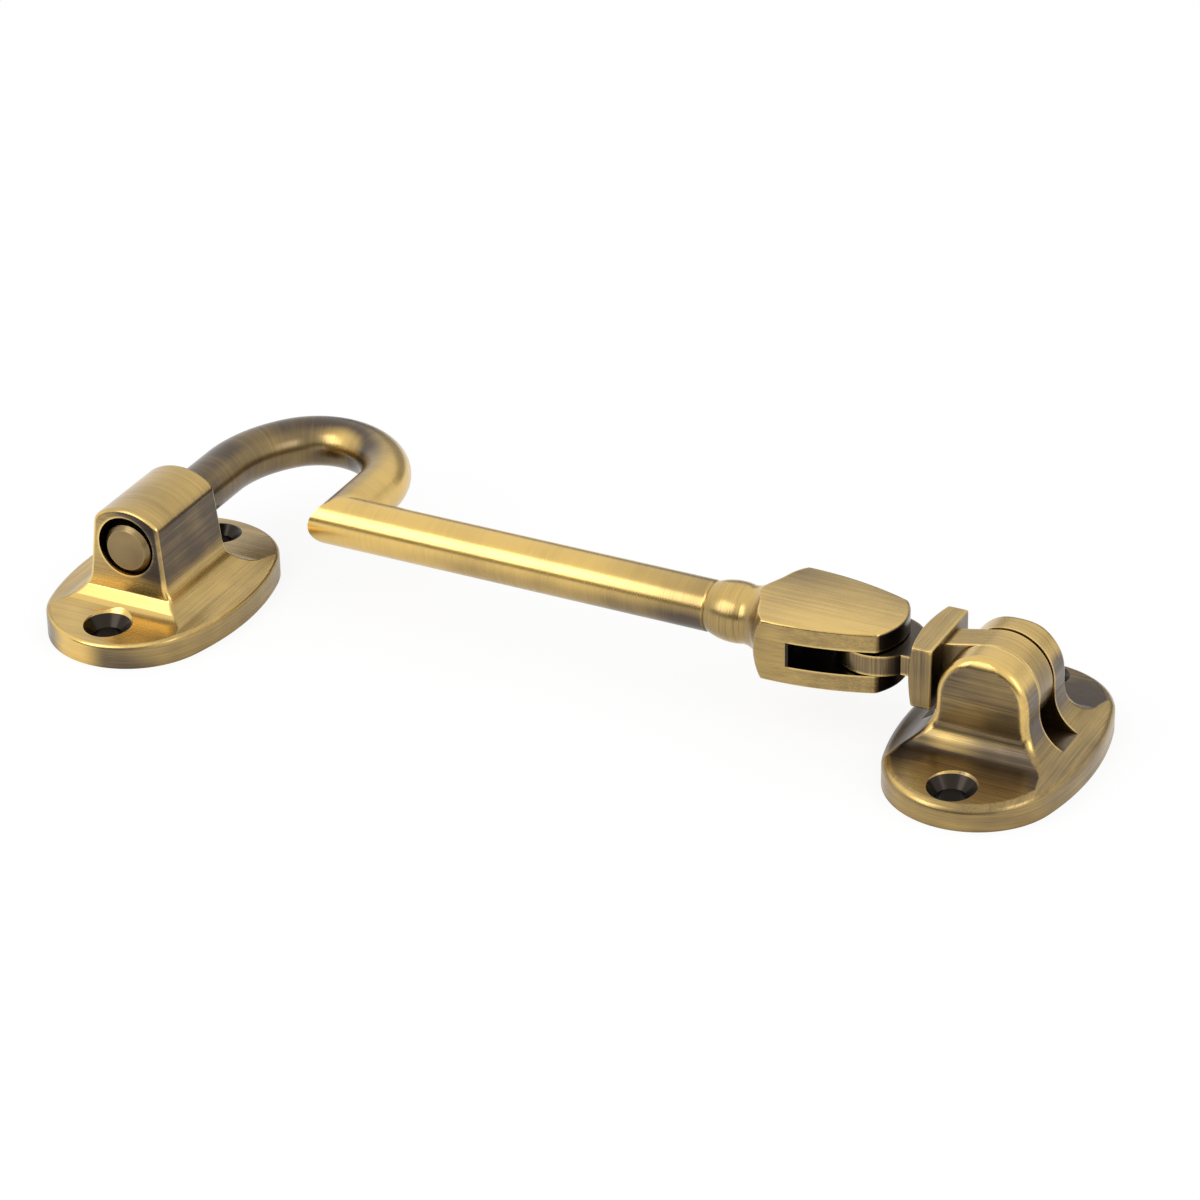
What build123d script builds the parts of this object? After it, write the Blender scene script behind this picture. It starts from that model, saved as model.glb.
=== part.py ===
# Cabin hook: a round-bar hook on a swivelling fork, its hinged back plate and its eye plate.
# Millimetres. The origin is the middle of the back plate's mounting face.
# X runs along the bar from the hook to the back plate, Y along both plates, Z up from the mounting face.

import os
from math import atan2, cos, degrees, radians, sin, tan

from build123d import *

# Bar and hook
bar_r = 4.25
bar_z = 14.7
arm_reach = 144.25
hook_span = 27.05
crown_span = 13.55
crown_top_y = 24.7
crown_r = 11.2
tip_bend_y = 7.0
tip_end_y = -24.0
tip_chamfer = 0.7
seam_x = -49.3
seam_chamfer = 0.3
spigot_r = 2.5
spigot_len = 6.0

# Fork
fork_half_z = 5.4
fork_shoulder = 9.5
fork_mid = 8.8
fork_corner = 6.2
fork_shoulder_x = -38.5
fork_mid_x = -27.65
fork_corner_x = -18.3
fork_end_x = -16.2
fork_corner_fillet = 1.5
fork_edge = 0.6
slot_z = 4.1
slot_end_x = -32.0
neck_start_r = 4.05
neck_bead_r = 4.95
neck_bead_x = -46.2
neck_waist_r = 4.8
neck_waist_x = -42.9
neck_flare_len = 4.0
neck_flare_r = 7.6
neck_round_len = 4.3
neck_over = 1.0
fork_pin_x = -20.2
fork_pin_r = 2.0
fork_pin_blind = 1.8

# Swivel link
running_gap = 0.05
side_gap = 0.3
tongue_r = 7.0
tongue_neck = 4.6
flange_face_x = -13.4
flange_back_x = -8.6
flange_half_y = 7.4
flange_half_z = 5.25
flange_crown_r = 30.0
flange_edge = 0.35
knuckle_r = 7.6
knuckle_w = 5.5
web_slope = 12.0
web_bottom_z = 10.0
knuckle_edge = 0.25

# Back plate
plate_half_x = 15.7
plate_half_y = 24.3
plate_side_r = 52.7
plate_rim_z = 4.0
plate_side_slope = 9.6
plate_pad_slope = 4.5
plate_rim_fillet = 1.5
ear_r = 7.7
ear_half_y = 8.4
ear_round = 2.8
ear_lip = 0.3
ear_edge = 1.5
ear_draft = 2.5
ear_flare = 7.0
ear_foot = 4.0
ear_slot_floor = 4.9
hinge_z = 13.1
hinge_pin_r = 2.25
hinge_pin_blind = 1.6
hinge_pin_recess = 0.3
plate_screw_span = 38.0

# Eye plate
eye_y = -13.4
eye_half_x = 15.9
eye_half_y = 23.7
eye_side_r = 46.0
eye_rim_z = 4.0
eye_side_slope = 9.0
eye_flare = 6.0
eye_pad_slope = 3.9
eye_foot_r = 4.0
eye_foot_slope = 38.0
eye_bevel = 1.5
eye_block_half_y = 9.45
eye_block_shift = -1.4
eye_draft = 2.0
eye_shoulder_x = 6.1
eye_shoulder_drop = 2.4
eye_shoulder_r = 2.0
eye_foot_x = 7.6
eye_wall = 1.45
tip_gap = 0.9
tip_sag = 0.65
eye_edge = 0.8
eye_rim_fillet = 0.8
eye_foot_fillet = 0.5
eye_screw_span = 35.2

# Countersunk screw holes, the same in both plates
screw_r = 2.4
sink_r = 4.0
sink_angle = 82.0

# Spare length that the trimming shapes run past the plates
spare = 6.0
spare_cone = 0.6

# Distance within which two places count as one
close = 0.01


def oval(half_x, half_y, side_r):
    # Four tangent arcs: two flat sides and two rounder ends.
    shift = side_r - half_x
    rest = side_r - half_y
    end_y = (shift**2 - rest**2) / (2 * rest)
    end_r = half_y - end_y
    turn = degrees(atan2(end_y, shift))
    right = CenterArc((-shift, 0), side_r, -turn, 2 * turn)
    far = CenterArc((0, end_y), end_r, turn, 180 - 2 * turn)
    left = CenterArc((shift, 0), side_r, 180 - turn, 2 * turn)
    near = CenterArc((0, -end_y), end_r, 180 + turn, 180 - 2 * turn)
    return make_face([right, far, left, near])


def screw_hole(x, y, top):
    # A through hole under a cone whose rim lies on the pad.
    drop = (sink_r - screw_r) / tan(radians(sink_angle / 2))
    rise = drop * spare_cone
    wide = screw_r + (drop + rise) * tan(radians(sink_angle / 2))
    hole = Pos(x, y, 0) * Cylinder(screw_r, 4 * top)
    cone = Pos(x, y, top - drop + (drop + rise) / 2) * Cone(screw_r, wide, drop + rise)
    return hole + cone


def along_y(profile, half):
    # A profile drawn in X and Z, run both ways along Y.
    return extrude(Plane.XZ * profile, amount=half, both=True)


def along_x(profile, half):
    # A profile drawn in Y and Z, run both ways along X.
    return extrude(Plane.YZ * profile, amount=half, both=True)


def rim_edges(plate):
    # The edges along the top of a plate's outer wall.
    walls = plate.faces().filter_by(lambda f: f.bounding_box().min.Z < close < f.center().Z)
    return walls.edges().filter_by(lambda e: e.bounding_box().min.Z > close)


def ridge_edges(plate):
    # The edges round the end faces of a plate's raised middle, and on down to its rim.
    ends = plate.faces().filter_by(lambda f: abs(f.center().X) < close < f.bounding_box().min.Z)
    curved = ends.edges().filter_by(lambda e: e.geom_type != GeomType.LINE)
    sloping = ends.edges().filter_by(GeomType.LINE).filter_by(lambda e: e.bounding_box().size.Z > close)
    rims = rim_edges(plate)
    return (curved + sloping).filter_by(lambda e: not any(e.is_same(rim) for rim in rims))


def both_sides(half_curves):
    # A closed outline from the curves of its right half.
    left = [mirror(curve, about=Plane.YZ) for curve in half_curves]
    return make_face(half_curves + left)


# Hook arm: the bar, its mitred corner, the leg, the three-centred bend and the straight tip
tip_x = -arm_reach
leg_x = tip_x + hook_span
crown_x = tip_x + crown_span
leg_arc_r = hook_span - crown_span
rise = crown_top_y - tip_bend_y
side_r = (crown_span**2 + (rise - crown_r) ** 2 - crown_r**2) / (2 * (crown_span - crown_r))
turn = degrees(atan2(rise - crown_r, side_r - crown_span))
bar_line = Line((seam_x, 0), (leg_x, 0))
leg_line = Line((leg_x, 0), (leg_x, crown_top_y - leg_arc_r))
leg_arc = CenterArc((crown_x, crown_top_y - leg_arc_r), leg_arc_r, 0, 90)
crown_arc = CenterArc((crown_x, crown_top_y - crown_r), crown_r, 90, 90 - turn)
tip_arc = CenterArc((tip_x + side_r, tip_bend_y), side_r, 180 - turn, turn)
tip_line = Line((tip_x, tip_bend_y), (tip_x, tip_end_y))
hook_path = Wire([bar_line, leg_line, leg_arc, crown_arc, tip_arc, tip_line])
bar_section = Plane((seam_x, 0, 0), x_dir=(0, 1, 0), z_dir=(-1, 0, 0)) * Circle(bar_r)
hook_arm = sweep(bar_section, path=hook_path, transition=Transition.RIGHT)
hook_arm = chamfer(hook_arm.edges().group_by(Axis.Y)[0], tip_chamfer)
hook_arm = chamfer(hook_arm.edges().group_by(Axis.X)[-1], seam_chamfer)
spigot = Pos(seam_x + spigot_len / 2, 0, 0) * Rot(0, 90, 0) * Cylinder(spigot_r, spigot_len)
hook_arm = Pos(0, 0, bar_z) * (hook_arm + spigot)

# Fork: a plan outline trimmed by the turned neck, with a slot for the link's tongue
shoulder = Vector(fork_shoulder_x, fork_shoulder)
corner = Vector(fork_corner_x, fork_corner)
fork_side = ThreePointArc(shoulder, (fork_mid_x, fork_mid), corner)
fork_end = ThreePointArc(corner, (fork_end_x, 0), (corner.X, -corner.Y))
fork_back = Polyline((shoulder.X, -shoulder.Y), (seam_x, -shoulder.Y), (seam_x, shoulder.Y), shoulder)
fork_plan = make_face([fork_side, fork_end, mirror(fork_side, about=Plane.XZ), fork_back])
fork_corners = fork_plan.vertices().filter_by(lambda v: abs(v.X - fork_corner_x) < close)
fork_plan = fillet(fork_corners, fork_corner_fillet)
neck_waist = Vector(neck_waist_x, neck_waist_r)
neck_bead = ThreePointArc((seam_x, neck_start_r), (neck_bead_x, neck_bead_r), neck_waist)
neck_flare_x = neck_waist_x + neck_flare_len
neck_shoulder_x = neck_flare_x + neck_round_len
neck_flare = TangentArc(neck_waist, (neck_flare_x, neck_flare_r), tangent=(1, 0))
neck_shoulder = Vector(neck_shoulder_x, Vector(fork_shoulder, fork_half_z).length + neck_over)
neck_round = TangentArc((neck_flare_x, neck_flare_r), neck_shoulder, tangent=neck_flare % 1)
flare_top = fork_shoulder + fork_half_z
neck_out = Polyline(neck_shoulder, (fork_mid_x, flare_top), (0, flare_top))
neck_in = Polyline((0, flare_top), (0, 0), (seam_x, 0), (seam_x, neck_start_r))
neck = revolve(Plane.XZ * make_face([neck_bead, neck_flare, neck_round, neck_out, neck_in]), Axis.X)
fork = extrude(fork_plan, amount=fork_half_z, both=True) & neck
fork_rims = fork.faces().filter_by(Plane.XY).edges().filter_by(GeomType.CIRCLE)
upright_edges = fork.edges().filter_by(lambda e: e.bounding_box().size.Z > fork_half_z)
fork = fillet(fork_rims + upright_edges.filter_by(GeomType.BSPLINE), fork_edge)
fork_slot_len = fork_end_x - slot_end_x + spare
fork -= Pos(slot_end_x + fork_slot_len / 2, 0, 0) * Box(fork_slot_len, 4 * fork_shoulder, slot_z)
fork -= Pos(seam_x, 0, 0) * Rot(0, 90, 0) * Cylinder(spigot_r, 2 * spigot_len)
pin_top = fork_half_z - fork_pin_blind
pin_len = pin_top + fork_half_z
fork -= Pos(fork_pin_x, 0, pin_top - pin_len / 2) * Cylinder(fork_pin_r, pin_len)
fork = Pos(0, 0, bar_z) * fork
fork_pin = Pos(fork_pin_x, 0, bar_z + pin_top - pin_len / 2) * Cylinder(fork_pin_r, pin_len)

# Swivel link: tongue, crowned flange, web and hinge knuckle in one piece
tongue_z = slot_z - 2 * side_gap
flange_len = flange_back_x - flange_face_x
neck_len = flange_face_x + flange_len / 2 - fork_pin_x
flange = Box(flange_len, 2 * flange_half_y, 2 * flange_half_z)
flange = Pos(flange_face_x + flange_len / 2, 0, bar_z) * flange
flange &= Pos(flange_face_x + flange_crown_r, 0, bar_z) * Sphere(flange_crown_r)
tongue = Pos(fork_pin_x, 0, bar_z) * Cylinder(tongue_r, tongue_z)
tongue += Pos(fork_pin_x + neck_len / 2, 0, bar_z) * Box(neck_len, 2 * tongue_neck, tongue_z)
web_x = -knuckle_r * sin(radians(web_slope))
web_z = hinge_z + knuckle_r * cos(radians(web_slope))
web_root = flange_back_x - flange_len / 2
web_low = web_z - (web_x - web_root) * tan(radians(web_slope))
web_top = Polyline((web_root, web_bottom_z), (web_root, web_low), (web_x, web_z))
web_end = Polyline((web_x, web_z), (0, hinge_z), (web_x, web_bottom_z), (web_root, web_bottom_z))
web_face = make_face([web_top, web_end])
knuckle = along_y(web_face + Pos(0, hinge_z) * Circle(knuckle_r), knuckle_w / 2)
knuckle = fillet(knuckle.faces().filter_by(Plane.XZ).edges(), knuckle_edge)
flange = fillet(flange.edges(), flange_edge)
swivel_link = flange + tongue + knuckle
swivel_link -= Pos(fork_pin_x, 0, bar_z) * Cylinder(fork_pin_r + running_gap, 2 * tongue_z)
swivel_link -= Pos(0, 0, hinge_z) * Rot(90, 0, 0) * Cylinder(hinge_pin_r + running_gap, 2 * knuckle_w)

# Back plate: an oval trimmed by a side profile and an end profile, slotted for the knuckle
plate_reach = plate_half_x + spare
side_low = plate_rim_z - spare * tan(radians(plate_side_slope))
side_rate = tan(radians(plate_side_slope))
ear_in = ear_r + (hinge_z - plate_rim_z - plate_half_x * side_rate) * sin(radians(ear_draft))
ear_foot_x = ear_in / (cos(radians(ear_draft)) - side_rate * sin(radians(ear_draft)))
side_high = plate_rim_z + (plate_half_x - ear_foot_x) * side_rate
ear_x = ear_r * cos(radians(ear_draft))
ear_z = hinge_z + ear_r * sin(radians(ear_draft))
side_base = Polyline((0, 0), (plate_reach, 0), (plate_reach, side_low))
side_rise = Polyline((plate_reach, side_low), (ear_foot_x, side_high), (ear_x, ear_z), (0, ear_z))
plate_side = both_sides([side_base, side_rise])
plate_side = fillet(plate_side.vertices().filter_by(lambda v: abs(v.Y - side_high) < close), ear_flare)
plate_side = plate_side + Pos(0, hinge_z) * Circle(ear_r)
pad_reach = plate_half_y + spare
pad_low = plate_rim_z - spare * tan(radians(plate_pad_slope))
pad_high = plate_rim_z + (plate_half_y - ear_half_y) * tan(radians(plate_pad_slope))
ear_top = hinge_z + ear_r + ear_lip
pad_base = Polyline((0, 0), (pad_reach, 0), (pad_reach, pad_low))
pad_rise = Polyline((pad_reach, pad_low), (ear_half_y, pad_high), (ear_half_y, ear_top), (0, ear_top))
plate_end = both_sides([pad_base, pad_rise])
plate_end = fillet(plate_end.vertices().filter_by(lambda v: abs(v.Y - pad_high) < close), ear_foot)
plate_end = fillet(plate_end.vertices().filter_by(lambda v: abs(v.Y - ear_top) < close < abs(v.X)), ear_round)
back_plate = extrude(oval(plate_half_x, plate_half_y, plate_side_r), amount=ear_top)
back_plate &= along_y(plate_side, pad_reach)
back_plate &= along_x(plate_end, plate_reach)
back_plate = fillet(ridge_edges(back_plate), ear_edge)
back_plate = fillet(rim_edges(back_plate), plate_rim_fillet)
slot_high = ear_top - ear_slot_floor
knuckle_slot = Box(2 * plate_reach, knuckle_w + 2 * side_gap, slot_high)
back_plate -= Pos(0, 0, ear_slot_floor + slot_high / 2) * knuckle_slot
hinge_low = hinge_pin_blind - ear_half_y
hinge_len = ear_half_y - hinge_pin_recess - hinge_low
hinge_mid = hinge_low + hinge_len / 2
bore_len = ear_half_y + spare - hinge_low
hinge_bore = Rot(90, 0, 0) * Cylinder(hinge_pin_r, bore_len)
back_plate -= Pos(0, hinge_low + bore_len / 2, hinge_z) * hinge_bore
hinge_pin = Pos(0, hinge_mid, hinge_z) * Rot(90, 0, 0) * Cylinder(hinge_pin_r, hinge_len)
screw_pad = plate_rim_z + (plate_half_y - plate_screw_span / 2) * tan(radians(plate_pad_slope))
for way in (-1, 1):
    back_plate -= screw_hole(0, way * plate_screw_span / 2, screw_pad)

# Eye plate: the same trimming, with a tapered block bored for the hook's tip
eye_bore_r = bar_r + tip_gap
eye_bore_z = bar_z + tip_sag
eye_top_z = eye_bore_z + eye_bore_r + eye_wall
eye_shoulder_z = eye_top_z - eye_shoulder_drop
eye_reach = eye_half_x + spare
eye_low = eye_rim_z - spare * tan(radians(eye_side_slope))
eye_high = eye_rim_z + (eye_half_x - eye_foot_x) * tan(radians(eye_side_slope))
eye_shoulder = Vector(eye_shoulder_x, eye_shoulder_z)
eye_base = Polyline((0, 0), (eye_reach, 0), (eye_reach, eye_low), (eye_foot_x, eye_high), eye_shoulder)
eye_arch = ThreePointArc(eye_shoulder, (0, eye_top_z), (-eye_shoulder_x, eye_shoulder_z))
eye_side = make_face([eye_base, mirror(eye_base, about=Plane.YZ), eye_arch])
eye_side = fillet(eye_side.vertices().filter_by(lambda v: abs(v.Y - eye_high) < close), eye_flare)
eye_side = fillet(eye_side.vertices().filter_by(lambda v: abs(v.Y - eye_shoulder_z) < close), eye_shoulder_r)
foot_y = eye_block_half_y + eye_bevel
slope_y = foot_y + eye_foot_r * (sin(radians(eye_foot_slope)) - sin(radians(eye_pad_slope)))
slope_z = eye_rim_z + (eye_half_y - slope_y) * tan(radians(eye_pad_slope))
eye_pad_z = slope_z + eye_foot_r * (cos(radians(eye_pad_slope)) - cos(radians(eye_foot_slope)))
eye_reach_y = eye_half_y + spare
eye_reach_z = eye_rim_z - spare * tan(radians(eye_pad_slope))
eye_peak_z = eye_top_z + spare
eye_peak_y = eye_block_half_y - (eye_peak_z - eye_pad_z - eye_bevel) * tan(radians(eye_draft))
eye_foot = Polyline((0, 0), (eye_reach_y, 0), (eye_reach_y, eye_reach_z), (slope_y, slope_z))
eye_way = (slope_y - eye_reach_y, slope_z - eye_reach_z)
eye_rise = TangentArc((slope_y, slope_z), (foot_y, eye_pad_z), tangent=eye_way)
eye_bevel_top = Vector(eye_block_half_y, eye_pad_z + eye_bevel)
eye_rest = Polyline((foot_y, eye_pad_z), eye_bevel_top, (eye_peak_y, eye_peak_z), (0, eye_peak_z))
eye_end = both_sides([eye_foot, eye_rise, eye_rest])
eye_corners = eye_end.vertices().filter_by(lambda v: -close < v.Y - eye_pad_z < eye_bevel + close)
eye_end = fillet(eye_corners, eye_foot_fillet)
eye_plate = extrude(oval(eye_half_x, eye_half_y, eye_side_r), amount=eye_top_z + spare)
eye_plate &= along_y(eye_side, eye_reach_y)
eye_plate &= Pos(0, eye_block_shift, 0) * along_x(eye_end, eye_reach)
eye_plate = fillet(ridge_edges(eye_plate), eye_edge)
eye_plate = fillet(rim_edges(eye_plate), eye_rim_fillet)
eye_plate -= Pos(0, 0, eye_bore_z) * Rot(90, 0, 0) * Cylinder(eye_bore_r, 4 * eye_half_y)
eye_screw_pad = eye_rim_z + (eye_half_y - eye_screw_span / 2) * tan(radians(eye_pad_slope))
for way in (-1, 1):
    eye_plate -= screw_hole(0, way * eye_screw_span / 2, eye_screw_pad)
eye_plate = Pos(tip_x, eye_y, 0) * eye_plate

# One file for each piece
pieces = {
    "hook_arm": hook_arm,
    "fork": fork,
    "fork_pin": fork_pin,
    "swivel_link": swivel_link,
    "hinge_pin": hinge_pin,
    "back_plate": back_plate,
    "eye_plate": eye_plate,
}
os.makedirs("parts", exist_ok=True)
for name, piece in pieces.items():
    export_step(piece, f"parts/{name}.step")
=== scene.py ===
"""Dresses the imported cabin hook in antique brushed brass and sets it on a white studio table."""

import math

import bpy
from bpy.props import FloatProperty, FloatVectorProperty, PointerProperty
from bpy.types import Operator, Panel, PropertyGroup
from mathutils import Matrix, Vector


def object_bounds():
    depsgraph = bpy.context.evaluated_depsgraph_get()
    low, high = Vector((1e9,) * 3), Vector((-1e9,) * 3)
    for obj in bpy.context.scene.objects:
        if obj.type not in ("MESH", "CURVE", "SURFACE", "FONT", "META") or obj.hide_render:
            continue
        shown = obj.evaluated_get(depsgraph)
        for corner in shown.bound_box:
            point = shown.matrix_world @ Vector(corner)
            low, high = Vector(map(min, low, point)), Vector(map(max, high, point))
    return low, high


bl_info = {
    "name": "Antique Brass Cabin Hook",
    "version": (1, 0, 0),
    "blender": (4, 5, 0),
    "location": "3D View > Sidebar > Cabin Hook",
    "description": "Brushed antique brass for a cabin hook, its joints and its plates, and a white table",
    "category": "Object",
}

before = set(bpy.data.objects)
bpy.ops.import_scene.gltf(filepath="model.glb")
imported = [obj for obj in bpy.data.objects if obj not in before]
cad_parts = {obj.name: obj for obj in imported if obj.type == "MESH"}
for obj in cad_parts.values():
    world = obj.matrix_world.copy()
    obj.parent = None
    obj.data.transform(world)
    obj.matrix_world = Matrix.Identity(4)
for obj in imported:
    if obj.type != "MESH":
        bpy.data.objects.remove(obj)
cad_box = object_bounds()

# Plates: the middle of each and the distance between its screw holes, and a place between the two
back_screws = ((0.0, 0.0), 0.038)
eye_screws = ((-0.14425, -0.0134), 0.0352)
eye_middle_y = eye_screws[0][1]
sink_radius = 0.00395
between_plates_x = -0.08

# Hook: the middle of its bend, the radius of its centre line, and y - x on the mitre
bend_middle = (-0.1307, 0.0105)
bend_radius = 0.0135
mitre = 0.1172

# Fork and link: the end of the neck, the start of the knuckle, and the slot for the tongue
neck_end_x = -0.0405
knuckle_start_x = -0.0085
slot_end_x = -0.0325
slot_middle_z = 0.0147
slot_half_height = 0.00212

# Unevenness of the film: how far the brush marks, their bands and the clouds change it
mark_share, band_share, cloud_share = 0.5, 0.35, 0.5
mark_roughness, cloud_roughness = 0.6, 0.5
noise_detail = 2.0
band_scale = (0.2, 0.2, 0.2)

# Wear and painted shade: openness at an edge, and in a corner where shade is painted, the height over
# which a plate's lower edge stays dull, how much film an edge loses, and the film that counts as deep and
# takes the dark colour as painted shade
edge_open, corner_open = (0.90, 0.55), (0.62, 0.18)
lower_edge = (0.0005, 0.0022)
edge_wear = 0.6
deep_film_and_shade = (1.0, 1.8)
open_samples = 8

# Roughness that the film and the brush marks add, and the lacquer's own
film_rough, mark_rough, lacquer_rough = 0.08, 0.12, 0.16

# Table: its white, how much it glows, and how much of that glow the metal shows
table_white, table_glow, glow_in_metal = 0.92, 0.86, 0.3

# Grey cards that only the metal sees: name, y, left, right, top and grey
cards = (
    ("Front card", -0.9, -1.3, 0.9, 0.32, 0.10),
    ("Rear card", 0.9, -0.62, 0.5, 0.40, 0.35),
)

# Soft boxes: name, place from the target, width, depth and the setting that holds the power
lamps = (
    ("Key soft box", (-0.20, -0.33, 0.25), 0.24, 0.30, "key_power"),
    ("Right soft box", (0.50, -0.13, 0.27), 0.24, 0.24, "right_power"),
)

# Camera: width of the picture in millimetres, and the nearest and furthest that it sees
picture_width = 36.0
near, far = 0.01, 50.0


class CABINHOOK_PG_brass(PropertyGroup):
    """The brass, its brushed, darkened finish, and the dark colour painted in as shade."""

    polished: FloatVectorProperty(
        name="Polished brass", description="Brass where the patina is rubbed away",
        subtype="COLOR", size=3, min=0, max=1, default=(0.78, 0.53, 0.165))
    patina: FloatVectorProperty(
        name="Patina", description="Brown grey film over the brass",
        subtype="COLOR", size=3, min=0, max=1, default=(0.098, 0.072, 0.049))
    # Dark colour for corners, slots, holes and shaded faces: patina in part, painted shade in part
    corner: FloatVectorProperty(
        name="Corner patina and shade", description="Dark film left in corners, slots and holes",
        subtype="COLOR", size=3, min=0, max=1, default=(0.022, 0.015, 0.009))
    worn_edge: FloatVectorProperty(
        name="Worn edge", description="Bare metal along the edges",
        subtype="COLOR", size=3, min=0, max=1, default=(0.84, 0.61, 0.25))
    grain_width: FloatProperty(
        name="Grain width", description="Width of one brush mark",
        subtype="DISTANCE", min=0.00005, default=0.00018)
    grain_length: FloatProperty(
        name="Grain length", description="Length of one brush mark",
        subtype="DISTANCE", min=0.0005, default=0.012)
    cloud_size: FloatProperty(
        name="Cloud size", description="Size of the lighter and darker clouds in the patina",
        subtype="DISTANCE", min=0.001, default=0.009)
    edge_width: FloatProperty(
        name="Edge width", description="How far from an edge the patina is worn off",
        subtype="DISTANCE", min=0.0001, default=0.0007)
    # Reach of the ambient occlusion that paints shade in corners
    corner_reach: FloatProperty(
        name="Corner reach", description="How far out of a corner the dark film reaches",
        subtype="DISTANCE", min=0.0005, default=0.005)
    grain_depth: FloatProperty(
        name="Grain depth", description="Depth of the brush marks in the surface",
        subtype="DISTANCE", min=0, default=0.000012)
    gloss: FloatProperty(
        name="Roughness", description="Roughness of the rubbed brass",
        subtype="FACTOR", min=0, max=1, default=0.24)
    lacquer: FloatProperty(
        name="Lacquer", description="How much clear lacquer lies over the brass",
        subtype="FACTOR", min=0, max=1, default=0.35)


class CABINHOOK_PG_stage(PropertyGroup):
    """The table, the lamps and the camera."""

    azimuth: FloatProperty(
        name="Azimuth", description="Camera's turn round the hook, from straight in front",
        subtype="ANGLE", default=math.radians(27.39))
    elevation: FloatProperty(
        name="Elevation", description="Camera's height above the table, as an angle",
        subtype="ANGLE", default=math.radians(29.04))
    roll: FloatProperty(
        name="Roll", description="Camera's tilt about its line of sight",
        subtype="ANGLE", default=math.radians(-1.10))
    target: FloatVectorProperty(
        name="Target", description="Point in the middle of the picture",
        subtype="TRANSLATION", size=3, default=(-0.06965, 0.0, 0.01099))
    distance: FloatProperty(
        name="Distance", description="From the camera to its target",
        subtype="DISTANCE", default=0.73823)
    lens: FloatProperty(
        name="Lens", description="Focal length in millimetres, on a 36 mm wide picture",
        subtype="DISTANCE_CAMERA", default=137.35)
    table_size: FloatProperty(
        name="Table size", description="Side of the white table top",
        subtype="DISTANCE", default=6.0)
    key_power: FloatProperty(
        name="Key lamp", description="Power of the soft box on the left, before the hook",
        subtype="POWER", default=0.55)
    right_power: FloatProperty(
        name="Right lamp", description="Power of the soft box on the right, past the back plate",
        subtype="POWER", default=0.4)


class Bench:
    """Adds shader nodes to one material, one call to a node."""

    def __init__(self, tree):
        self.tree = tree
        tree.nodes.clear()

    def put(self, kind, *values, **settings):
        """A node with its settings, and values or other nodes' sockets for its first inputs."""
        node = self.tree.nodes.new("ShaderNode" + kind)
        for key, value in settings.items():
            setattr(node, key, value)
        for socket, value in zip(node.inputs, values):
            self.plug(value, socket)
        return node

    def plug(self, value, socket):
        """Links a socket, sets a number, or leaves None alone."""
        if isinstance(value, bpy.types.NodeSocket):
            self.tree.links.new(value, socket)
        elif value is not None:
            socket.default_value = value

    def math(self, operation, *values):
        return self.put("Math", *values, operation=operation).outputs[0]

    def vector(self, operation, *values):
        return self.put("VectorMath", *values, operation=operation).outputs[0]

    def axes(self, vector):
        return self.put("SeparateXYZ", vector).outputs[:3]

    def ramp(self, value, first, last, start=0.0, end=1.0):
        """Start up to the first value, end from the last one on, and smooth between."""
        ramp = self.put("MapRange", value, first, last, start, end, interpolation_type="SMOOTHSTEP")
        return ramp.outputs[0]

    def mix(self, kind, share, first, second):
        """First where share is 0 and second where it is 1, of numbers, vectors or colours."""
        node = self.put("Mix", data_type=kind)
        self.plug(share, node.inputs["Factor"])
        sort = {"FLOAT": "VALUE"}.get(kind, kind)
        for name, value in (("A", first), ("B", second)):
            if kind == "RGBA" and not isinstance(value, bpy.types.NodeSocket):
                value = (*value, 1)
            self.plug(value, next(s for s in node.inputs if s.name == name and s.type == sort))
        return next(s for s in node.outputs if s.type == sort)

    def blend(self, share, first, second):
        return self.mix("FLOAT", share, first, second)

    def choose(self, share, first, second):
        return self.mix("VECTOR", share, first, second)

    def more(self, value, share, amount):
        """Value, and amount on top of it where share is 1."""
        return self.math("MULTIPLY_ADD", share, amount, value)

    def both(self, *shares):
        """1 where every share is 1."""
        total = shares[0]
        for share in shares[1:]:
            total = self.math("MULTIPLY", total, share)
        return total

    def noise(self, place, roughness):
        """Noise that swings about 0."""
        noise = self.put("TexNoise", place, None, 1.0, noise_detail, roughness).outputs[0]
        return self.math("SUBTRACT", noise, 0.5)


def new_material(name):
    """A material without nodes, and the bench to add them."""
    material = bpy.data.materials.new(name)
    material.use_nodes = True
    return material, Bench(material.node_tree)


def grey(level):
    return (level, level, level, 1)


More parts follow.
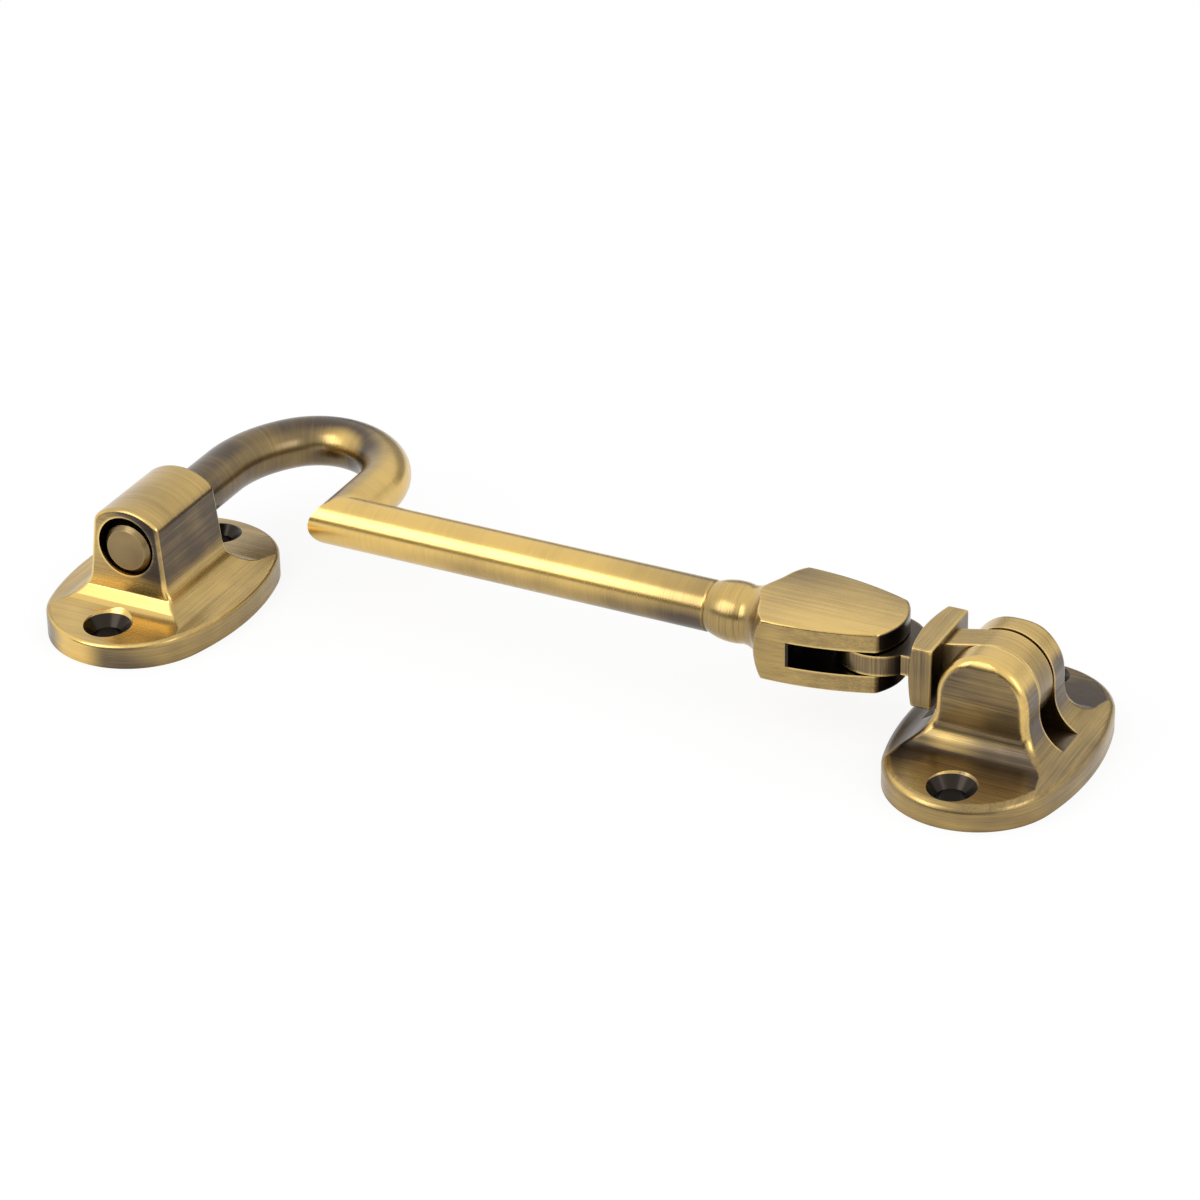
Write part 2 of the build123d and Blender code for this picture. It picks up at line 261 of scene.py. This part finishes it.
def antique_brass(name, finish, grain, film, streaks=1.0):
    """Brushed brass under a dark film, with painted shade and painted highlights worked into it.

    grain places the brush marks, film says how much of the film is left, which besides patina also holds
    painted shade and highlights, and streaks how much the brush marks show in it.
    """
    material, bench = new_material(name)
    coordinates = bench.put("TexCoord")
    place, facing = coordinates.outputs["Object"], coordinates.outputs["Normal"]

    # Brush marks, wider bands of them, and clouds
    marks_at = grain(bench, place, facing, finish)
    clouds_at = bench.vector("MULTIPLY", place, (1 / finish.cloud_size,) * 3)
    marks = bench.noise(marks_at, mark_roughness)
    bands = bench.noise(bench.vector("MULTIPLY", marks_at, band_scale), mark_roughness)
    clouds = bench.noise(clouds_at, cloud_roughness)
    uneven = bench.math("MULTIPLY", marks, mark_share * streaks)
    uneven = bench.more(uneven, bands, band_share * streaks)
    uneven = bench.more(uneven, clouds, cloud_share)

    # Bare edges, where the metal close beneath the surface is thin, and dark corners from ambient
    # occlusion, partly patina and partly painted shade
    inside = bench.put(
        "AmbientOcclusion", None, finish.edge_width, samples=open_samples, inside=True, only_local=True)
    edge = bench.ramp(inside.outputs["AO"], *edge_open)
    edge = bench.both(edge, bench.ramp(bench.axes(place)[2], *lower_edge))
    outside = bench.put(
        "AmbientOcclusion", None, finish.corner_reach, samples=open_samples, only_local=True)
    corner = bench.ramp(outside.outputs["AO"], *corner_open)
    dull = bench.math("ADD", film(bench, place, facing), uneven)
    dull = bench.more(dull, edge, -edge_wear)
    # Film beyond 1, mostly painted shade in slots, holes and on shaded faces, takes the dark corner
    # colour
    deep_and_shaded = bench.ramp(dull, *deep_film_and_shade)
    dull = bench.put("Clamp", dull).outputs[0]

    colour = bench.mix("RGBA", dull, finish.polished, finish.patina)
    bare = bench.both(edge, bench.more(edge_wear, dull, -edge_wear))
    colour = bench.mix("RGBA", bare, colour, finish.worn_edge)
    colour = bench.mix("RGBA", bench.math("MAXIMUM", corner, deep_and_shaded), colour, finish.corner)
    rough = bench.more(bench.more(finish.gloss, dull, film_rough), marks, mark_rough)
    bump = bench.put("Bump", 1.0, finish.grain_depth)
    bench.plug(marks, bump.inputs["Height"])

    shader = bench.put("BsdfPrincipled")
    sockets = {
        "Base Color": colour,
        "Metallic": 1.0,
        "Roughness": rough,
        "Normal": bump.outputs[0],
        "Coat Weight": finish.lacquer,
        "Coat Roughness": lacquer_rough,
    }
    for socket, value in sockets.items():
        bench.plug(value, shader.inputs[socket])
    bench.put("OutputMaterial", shader.outputs[0])
    return material


def brushed(bench, place, finish, along):
    """Noise position of brush marks that run along the named axes."""
    fine, long = 1 / finish.grain_width, 1 / finish.grain_length
    return bench.vector("MULTIPLY", place, tuple(long if axis in along else fine for axis in "xyz"))


def screw_holes(bench, x, y):
    """1 inside the four screw holes and 0 outside them."""
    inside = 0.0
    for (middle_x, middle_y), span in (back_screws, eye_screws):
        aside = bench.math("SUBTRACT", x, middle_x)
        along = bench.math("ABSOLUTE", bench.math("SUBTRACT", y, middle_y))
        along = bench.math("SUBTRACT", along, span / 2)
        offset = bench.put("CombineXYZ", aside, along).outputs[0]
        away = bench.put("VectorMath", offset, operation="LENGTH").outputs["Value"]
        inside = bench.math("MAXIMUM", inside, bench.math("LESS_THAN", away, sink_radius))
    return inside


def dress(node, material):
    """Gives a CAD piece its finish, with the shape left as it is."""
    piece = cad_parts[node]
    piece.data.materials.clear()
    piece.data.materials.append(material)


# In the film functions below, a named pair is where a ramp starts and ends, in metres or as a part
# of the surface normal. A named four also holds the film at both. 0 is bare brass and 1 full patina.
# Besides patina, the films also carry painted shade and painted highlights, and film above 1 turns to the
# dark corner colour.


class CABINHOOK_OT_hook(Operator):
    """Brush the bar round its length, darken it towards the neck and in the bend, and paint shade under
    the bar and a highlight in the bend
    """

    bl_idname = "cabinhook.hook"
    bl_label = "Hook Arm"

    @staticmethod
    def grain(bench, place, facing, finish):
        x, y, z = bench.axes(place)
        across = bench.math("SUBTRACT", x, bend_middle[0])
        past = bench.math("SUBTRACT", y, bend_middle[1])
        angle = bench.math("ARCTAN2", bench.math("MAXIMUM", past, 0.0), across)
        straight = bench.math("ABSOLUTE", bench.math("MINIMUM", past, 0.0))
        along = bench.more(straight, angle, bend_radius)
        along = bench.math("DIVIDE", along, finish.grain_width)
        round_it = bench.math("DIVIDE", z, finish.grain_length)
        bend = bench.put("CombineXYZ", along, round_it).outputs[0]
        off_bar = bench.math("GREATER_THAN", bench.math("SUBTRACT", y, x), mitre)
        return bench.choose(off_bar, brushed(bench, place, finish, "yz"), bend)

    @staticmethod
    def film(bench, place, facing):
        x, y, _ = bench.axes(place)
        nx, ny, nz = bench.axes(facing)

        # Bar, rubbed bright by the leg and dull by the neck, with painted shade on its underside
        to_neck = (-0.078, -0.050, 0.03, 0.46)
        downward, below_neck = (0.5, -0.25), (-0.110, -0.085, 0.1, 0.5)
        # Painted shade on the underside, stronger towards the neck
        below = bench.both(bench.ramp(nz, *downward), bench.ramp(x, *below_neck))
        bar = bench.math("ADD", bench.ramp(x, *to_neck), below)

        # Bend, dull past the leg, darker on the leg's faces turned into the bend than on its outer faces,
        # and dull on top; a bare spot inside, partly worn brass and partly a painted highlight
        past_leg = (-0.115, -0.130, 0.3, 0.86)
        inward, on_leg = (0.3, -0.4, -0.12, 0.3), (-0.130, -0.126)
        frontward, spot_left, spot_right = (-0.2, -0.7), (-0.136, -0.129), (-0.1235, -0.1265)
        spot_up, spot_bare_and_highlight = (0.0, 0.3), -0.7
        upward, to_crown = (0.7, 0.95), (-0.120, -0.128, 0.0, 0.12)
        leg = bench.both(bench.ramp(nx, *inward), bench.ramp(x, *on_leg))
        # Bare spot where the key lamp's highlight falls: partly worn brass, partly painted highlight
        spot = bench.both(bench.ramp(ny, *frontward), bench.ramp(x, *spot_left))
        spot = bench.both(spot, bench.ramp(x, *spot_right), bench.ramp(nz, *spot_up))
        top = bench.both(bench.ramp(nz, *upward), bench.ramp(x, *to_crown))
        bend = bench.math("ADD", bench.ramp(x, *past_leg), leg)
        bend = bench.math("ADD", bench.more(bend, spot, spot_bare_and_highlight), top)

        # The two meet at the mitre, and the tip's end has its own film
        mitre_blend = (0.1165, 0.1195)
        tip_end, tip_film = (-0.0225, -0.0235), 0.85
        off_bar = bench.ramp(bench.math("SUBTRACT", y, x), *mitre_blend)
        film = bench.blend(off_bar, bar, bend)
        return bench.blend(bench.ramp(y, *tip_end), film, tip_film)

    def execute(self, context):
        finish = context.scene.cabinhook_brass
        material = antique_brass("Bar brass", finish, self.grain, self.film, streaks=0.4)
        dress("hook_arm", material)
        return {"FINISHED"}


class CABINHOOK_OT_joints(Operator):
    """Brush the fork along the bar, and the link down its flange and round its knuckle"""

    bl_idname = "cabinhook.joints"
    bl_label = "Fork and Link"

    @staticmethod
    def fork_grain(bench, place, facing, finish):
        neck = bench.math("LESS_THAN", bench.axes(place)[0], neck_end_x)
        cheeks = brushed(bench, place, finish, "x")
        return bench.choose(neck, cheeks, brushed(bench, place, finish, "yz"))

    @staticmethod
    def fork_film(bench, place, facing):
        x, y, z = bench.axes(place)
        nx, _, nz = bench.axes(bench.vector("ABSOLUTE", facing))

        # Top, painted lighter in front and darker at the rear and by the neck as painted shade, above
        # sides that are darker, partly patina and partly painted shade
        rearward, by_neck = (-0.0065, 0.007, 0.0, 0.52), (-0.038, -0.028, 0.15, 0.0)
        on_neck, neck_film = (-0.039, -0.042), 0.28
        upward, side_film_and_shade = (0.3, 0.9), 0.63
        top = bench.math("ADD", bench.ramp(y, *rearward), bench.ramp(x, *by_neck))
        top = bench.blend(bench.ramp(x, *on_neck), top, neck_film)
        # Sides darker than the top: partly patina, partly painted shade
        film = bench.blend(bench.ramp(nz, *upward), side_film_and_shade, top)

        # Painted shade on the far end, which faces the link, and in the slot, which is darkest
        endward, far_end, end_painted_shade = (0.6, 0.9), (-0.03, -0.025), 1.1
        slot_painted_shade = 3.0
        end = bench.both(bench.ramp(nx, *endward), bench.ramp(x, *far_end))
        film = bench.blend(end, film, end_painted_shade)
        height = bench.math("ABSOLUTE", bench.math("SUBTRACT", z, slot_middle_z))
        between_cheeks = bench.math("LESS_THAN", height, slot_half_height)
        slot = bench.both(between_cheeks, bench.math("GREATER_THAN", x, slot_end_x))
        return bench.blend(slot, film, slot_painted_shade)

    @staticmethod
    def link_grain(bench, place, facing, finish):
        flat = 0.7
        nz = bench.axes(bench.vector("ABSOLUTE", facing))[2]
        sides, tops = brushed(bench, place, finish, "z"), brushed(bench, place, finish, "y")
        flange = bench.choose(bench.math("GREATER_THAN", nz, flat), sides, tops)
        knuckle = bench.math("GREATER_THAN", bench.axes(place)[0], knuckle_start_x)
        return bench.choose(knuckle, flange, brushed(bench, place, finish, "xz"))

    @staticmethod
    def link_film(bench, place, facing):
        x, _, z = bench.axes(place)
        nx, _, nz = bench.axes(bench.vector("ABSOLUTE", facing))

        # Tops are brighter than sides, and the knuckle's top is brighter than the flange's; the darker
        # sides, darkest at the flange's ends, are partly patina and partly painted shade
        on_knuckle, upward = (-0.010, -0.008), (0.3, 0.9)
        flange_top, knuckle_top = 0.52, 0.28
        flange_side, knuckle_side = (0.4, 0.9, 0.86, 1.5), 0.8
        knuckle = bench.ramp(x, *on_knuckle)
        top = bench.blend(knuckle, flange_top, knuckle_top)
        # Sides darker, the flange's ends darkest: partly patina, partly painted shade
        side = bench.blend(knuckle, bench.ramp(nx, *flange_side), knuckle_side)
        film = bench.blend(bench.ramp(nz, *upward), side, top)

        # Painted shade on the top of the tongue, below the fork's upper cheek
        tongue_z, tongue_x, tongue_up = (0.0180, 0.0172), (-0.0130, -0.0136), (0.5, 0.8)
        tongue_painted_shade = 1.4
        tongue = bench.both(bench.ramp(z, *tongue_z), bench.ramp(x, *tongue_x))
        tongue = bench.both(tongue, bench.ramp(nz, *tongue_up))
        return bench.blend(tongue, film, tongue_painted_shade)

    def execute(self, context):
        finish = context.scene.cabinhook_brass
        dress("fork", antique_brass("Fork brass", finish, self.fork_grain, self.fork_film))
        dress("swivel_link", antique_brass("Link brass", finish, self.link_grain, self.link_film))
        return {"FINISHED"}


class CABINHOOK_OT_pins(Operator):
    """Brush both pins across their length and leave them dull"""

    bl_idname = "cabinhook.pins"
    bl_label = "Pins"

    @staticmethod
    def grain(bench, place, facing, finish):
        return brushed(bench, place, finish, "x")

    @staticmethod
    def film(bench, place, facing):
        pin_film = 0.7
        return pin_film

    def execute(self, context):
        finish = context.scene.cabinhook_brass
        material = antique_brass("Pin brass", finish, self.grain, self.film)
        for node in ("fork_pin", "hinge_pin"):
            dress(node, material)
        return {"FINISHED"}


class CABINHOOK_OT_plates(Operator):
    """Brush both plates along their faces, over the ears and the eye's arch, and round their rims"""

    bl_idname = "cabinhook.plates"
    bl_label = "Plates"

    @staticmethod
    def grain(bench, place, facing, finish):
        side_turn = 0.10
        arch_z, arch_flat = 0.0155, 0.35
        rim_z, rim_flat = 0.0042, 0.5
        z = bench.axes(place)[2]
        nx, _, nz = bench.axes(bench.vector("ABSOLUTE", facing))
        pads, slopes = brushed(bench, place, finish, "x"), brushed(bench, place, finish, "y")
        face = bench.choose(bench.math("GREATER_THAN", nx, side_turn), pads, slopes)
        high, flat = bench.math("GREATER_THAN", z, arch_z), bench.math("GREATER_THAN", nz, arch_flat)
        face = bench.choose(bench.both(high, flat), face, brushed(bench, place, finish, "xz"))
        low = bench.math("LESS_THAN", z, rim_z)
        rim = bench.math("LESS_THAN", nz, bench.math("MULTIPLY", low, rim_flat))
        return bench.choose(rim, face, brushed(bench, place, finish, "xy"))

    @staticmethod
    def film(bench, place, facing):
        x, y, z = bench.axes(place)
        nx, ny, nz = bench.axes(bench.vector("ABSOLUTE", facing))
        eye = bench.math("LESS_THAN", x, between_plates_x)
        back = bench.math("SUBTRACT", 1.0, eye)
        along = bench.more(y, eye, -eye_middle_y)
        away = bench.math("ABSOLUTE", along)
        steep = bench.ramp(nz, 0.8, 0.3)

        # Pads and side slopes; darker before the ears is a painted reflection of their dark faces, darker
        # below the link is painted shade, and darker at the rear is a painted dark reflection
        back_pad, eye_pad = (0.022, 0.012, 0.62, 0.94), 0.32
        sideward, back_slope, eye_slope = (0.05, 0.15), 0.66, 0.45
        link_x, link_away, link_painted_shade = (-0.005, -0.009), (0.017, 0.009), 0.5
        rearward, rear_painted_reflection = (0.008, 0.011), 0.25
        # Back pad darker before the ears: painted reflection of their dark faces
        film = bench.blend(eye, bench.ramp(away, *back_pad), eye_pad)
        slope = bench.ramp(nx, *sideward)
        film = bench.blend(slope, film, bench.blend(eye, back_slope, eye_slope))
        # Painted shade below the link
        below = bench.both(back, bench.ramp(x, *link_x), bench.ramp(away, *link_away))
        film = bench.more(film, below, link_painted_shade)
        # Painted dark reflection at the rear of the pads
        rear = bench.both(bench.ramp(along, *rearward), bench.ramp(slope, 1.0, 0.0))
        film = bench.more(film, rear, rear_painted_reflection)

        # Faces of the ears and the block, darker on sides turned to x, partly patina and partly painted
        # shade; the block's face is painted lighter at its left and its foot and darker at its top
        above_pad, face_film_and_shade = (0.0045, 0.0075), (0.3, 0.8, 0.83, 1.0)
        leftward, above_foot = (-0.139, -0.150, -0.65, 0.4), (0.009, 0.012)
        face_top, face_foot = (0.0165, 0.0195, 0.0, -0.2), (0.0115, 0.0075, 0.0, 0.65)
        face_painted_light_and_shade = bench.both(bench.ramp(x, *leftward), bench.ramp(z, *above_foot))
        face_painted_light_and_shade = bench.math("ADD", face_painted_light_and_shade, bench.ramp(z, *face_top))
        face_painted_light_and_shade = bench.math("ADD", bench.both(ny, face_painted_light_and_shade), bench.ramp(z, *face_foot))
        face = bench.math("SUBTRACT", bench.ramp(nx, *face_film_and_shade), bench.both(eye, face_painted_light_and_shade))
        film = bench.blend(bench.both(steep, bench.ramp(z, *above_pad)), film, face)

        # Painted highlight on the rolled foot of the ears and the block, on the back plate only towards
        # its left
        foot_turn, foot_z = (0.3, 0.45), (0.010, 0.008)
        back_foot_highlight, eye_foot_highlight = (0.003, -0.009, 0.0, 0.6), 0.5
        foot = bench.ramp(bench.math("MULTIPLY", ny, nz), *foot_turn)
        foot = bench.both(foot, bench.ramp(z, *foot_z))
        foot_highlight = bench.blend(eye, bench.ramp(x, *back_foot_highlight), eye_foot_highlight)
        film = bench.math("SUBTRACT", film, bench.both(foot, foot_highlight))

        # Tops of the ears and the arch, and the bright ridges beside their faces
        upward, top_z = (0.25, 0.6), (0.0145, 0.0175)
        ear_film, arch_film = (0.0, 0.004, 0.12, 0.32), 0.45
        ridge_turn, ridge_z, ridge_film = (0.12, 0.38), (0.0055, 0.0075), -0.7
        top = bench.both(bench.ramp(nz, *upward), bench.ramp(z, *top_z))
        film = bench.blend(top, film, bench.blend(eye, bench.ramp(y, *ear_film), arch_film))
        ridge = bench.ramp(bench.math("MULTIPLY", nx, ny), *ridge_turn)
        ridge = bench.both(ridge, bench.ramp(z, *ridge_z))
        film = bench.more(film, ridge, ridge_film)

        # Rims, of which the eye plate's has painted reflections, lighter to the right and brightest in
        # front, and painted shade in the screw holes
        rim_z, back_rim, eye_rim = (0.0048, 0.0035), 0.68, (-0.137, -0.132, 0.85, 0.65)
        rim_highlight_front, rim_highlight_left, rim_highlight_right = (0.0, -0.01), (-0.154, -0.149), (-0.141, -0.146)
        rim_painted_highlight, hole_painted_shade = -0.75, 2.6
        # Painted highlight on the front of the eye plate's rim
        rubbed = bench.both(eye, bench.ramp(along, *rim_highlight_front))
        rubbed = bench.both(rubbed, bench.ramp(x, *rim_highlight_left), bench.ramp(x, *rim_highlight_right))
        # Eye plate's rim lighter to the right: painted reflection
        rim = bench.blend(eye, back_rim, bench.ramp(x, *eye_rim))
        rim = bench.more(rim, rubbed, rim_painted_highlight)
        film = bench.blend(bench.both(steep, bench.ramp(z, *rim_z)), film, rim)
        # Painted shade in the screw holes
        return bench.blend(screw_holes(bench, x, y), film, hole_painted_shade)

    def execute(self, context):
        finish = context.scene.cabinhook_brass
        material = antique_brass("Plate brass", finish, self.grain, self.film)
        for node in ("back_plate", "eye_plate"):
            dress(node, material)
        return {"FINISHED"}


class CABINHOOK_OT_stage(Operator):
    """Lay the white table, stand the cards, hang the soft boxes and place the camera"""

    bl_idname = "cabinhook.stage"
    bl_label = "Stage"

    @staticmethod
    def seen(bench):
        """1 for rays from the camera and through glass, and less for the reflection in the metal."""
        path = bench.put("LightPath").outputs
        metal = bench.math("MULTIPLY", path["Is Glossy Ray"], glow_in_metal)
        seen = bench.math("MAXIMUM", path["Is Camera Ray"], metal)
        return bench.math("MAXIMUM", seen, path["Is Transmission Ray"])

    def lay_table(self, stage):
        bpy.ops.object.select_all(action="DESELECT")
        place = (*stage.target[:2], cad_box[0].z)
        bpy.ops.mesh.primitive_plane_add(size=stage.table_size, location=place)
        table = bpy.context.object
        bpy.ops.object.transform_apply(location=True)
        table.name = "Table"
        material, bench = new_material("White table")
        cloth = bench.put("BsdfDiffuse", grey(table_white)).outputs[0]
        glow = bench.put("Emission", grey(1), 1.0).outputs[0]
        share = bench.math("MULTIPLY", self.seen(bench), table_glow)
        surface = bench.put("MixShader", share, cloth, glow).outputs[0]
        bench.put("OutputMaterial", surface)
        table.data.materials.append(material)

    def stand_card(self, name, y, left, right, top, level):
        bpy.ops.object.select_all(action="DESELECT")
        bpy.ops.mesh.primitive_plane_add(size=1.0)
        card = bpy.context.object
        card.name = name
        card.scale = (right - left, top, 1.0)
        card.rotation_euler = (math.pi / 2, 0, 0)
        card.location = ((left + right) / 2, y, cad_box[0].z + top / 2)
        bpy.ops.object.transform_apply(location=True, rotation=True, scale=True)
        card.visible_camera = card.visible_diffuse = card.visible_shadow = False
        material, bench = new_material(name)
        bench.put("OutputMaterial", bench.put("BsdfDiffuse", grey(level)).outputs[0])
        card.data.materials.append(material)

    def light_room(self):
        world = bpy.data.worlds.new("White room")
        world.use_nodes = True
        bpy.context.scene.world = world
        bench = Bench(world.node_tree)
        bench.put("OutputWorld", bench.put("Background", grey(1), 1.0).outputs[0])

    def hang_lamp(self, name, place, aim, width, depth, power):
        bpy.ops.object.light_add(type="AREA", location=place)
        lamp = bpy.context.object
        lamp.name = name
        lamp.data.shape = "RECTANGLE"
        lamp.data.size, lamp.data.size_y = width, depth
        lamp.data.energy = power
        lamp.rotation_euler = (aim - place).to_track_quat("-Z", "Y").to_euler()
        lamp.visible_camera = False

    def place_camera(self, stage):
        turn, rise, roll = stage.azimuth, stage.elevation, stage.roll
        level = math.cos(rise)
        back = Vector((math.sin(turn) * level, -math.cos(turn) * level, math.sin(rise)))
        right = Vector((math.cos(turn), math.sin(turn), 0))
        up = back.cross(right)
        rolled = right * math.cos(roll) + up * math.sin(roll)
        upward = up * math.cos(roll) - right * math.sin(roll)
        data = bpy.data.cameras.new("Camera")
        data.lens = stage.lens
        data.sensor_width = picture_width
        data.clip_start, data.clip_end = near, far
        camera = bpy.data.objects.new("Camera", data)
        bpy.context.scene.collection.objects.link(camera)
        turned = Matrix((rolled, upward, back)).transposed().to_4x4()
        place = Vector(stage.target) + back * stage.distance
        camera.matrix_world = Matrix.Translation(place) @ turned
        bpy.context.scene.camera = camera

    def execute(self, context):
        stage = context.scene.cabinhook_stage
        self.lay_table(stage)
        self.light_room()
        for card in cards:
            self.stand_card(*card)
        target = Vector(stage.target)
        for name, place, width, depth, power in lamps:
            self.hang_lamp(name, target + Vector(place), target, width, depth, getattr(stage, power))
        self.place_camera(stage)
        context.scene.view_settings.view_transform = "Standard"
        return {"FINISHED"}


class CABINHOOK_PT_panel(Panel):
    """The finish, the stage and the steps that make them."""

    bl_label = "Cabin Hook"
    bl_idname = "CABINHOOK_PT_panel"
    bl_space_type = "VIEW_3D"
    bl_region_type = "UI"
    bl_category = "Cabin Hook"

    def draw(self, context):
        for group in (context.scene.cabinhook_brass, context.scene.cabinhook_stage):
            box = self.layout.box()
            for key in group.__annotations__:
                box.prop(group, key)
        for step in steps:
            self.layout.operator(step.bl_idname)


groups = (CABINHOOK_PG_brass, CABINHOOK_PG_stage)
steps = (
    CABINHOOK_OT_hook,
    CABINHOOK_OT_joints,
    CABINHOOK_OT_pins,
    CABINHOOK_OT_plates,
    CABINHOOK_OT_stage,
)


def register():
    for cls in (*groups, *steps, CABINHOOK_PT_panel):
        bpy.utils.register_class(cls)
    bpy.types.Scene.cabinhook_brass = PointerProperty(type=CABINHOOK_PG_brass)
    bpy.types.Scene.cabinhook_stage = PointerProperty(type=CABINHOOK_PG_stage)


def unregister():
    del bpy.types.Scene.cabinhook_stage
    del bpy.types.Scene.cabinhook_brass
    for cls in (CABINHOOK_PT_panel, *reversed(steps), *reversed(groups)):
        bpy.utils.unregister_class(cls)


def main():
    register()
    for step in steps:
        area, action = step.bl_idname.split(".")
        getattr(getattr(bpy.ops, area), action)()


if __name__ == "__main__":
    main()
